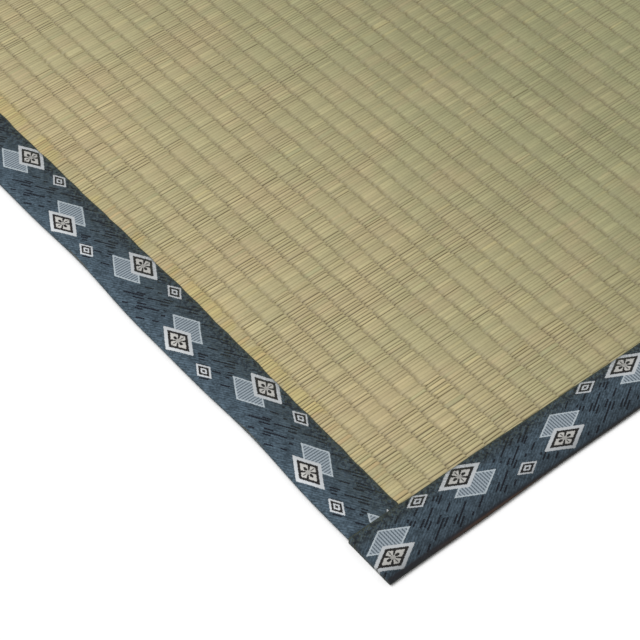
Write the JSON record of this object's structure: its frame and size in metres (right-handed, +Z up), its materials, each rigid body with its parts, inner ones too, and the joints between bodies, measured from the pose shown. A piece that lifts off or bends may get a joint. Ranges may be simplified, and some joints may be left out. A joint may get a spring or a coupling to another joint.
{
  "type": "rush grass carpet",
  "caption": "Flat rectangular floor mat woven of rush stems in soft lengthwise ribs, with a patterned cloth border folded round all its edges and lapped at the corners.",
  "frame": {"origin": "on the surface the mat lies on, under the middle of the mat", "axes": "+Y along the mat's length and its ribs, +X across it along the stems, +Z up out of the top face"},
  "size_m": [0.882, 1.76, 0.0038],
  "materials": {
    "rush": "dry woven rush stems with a faint satin sheen",
    "border_cloth": "matt slate blue woven tape with pale and black figures"
  },
  "bodies": {
    "root": {"rush_mat": "rush", "side_border_left": "border_cloth", "side_border_right": "border_cloth", "end_border_near": "border_cloth", "end_border_far": "border_cloth"}
  },
  "joints": []
}
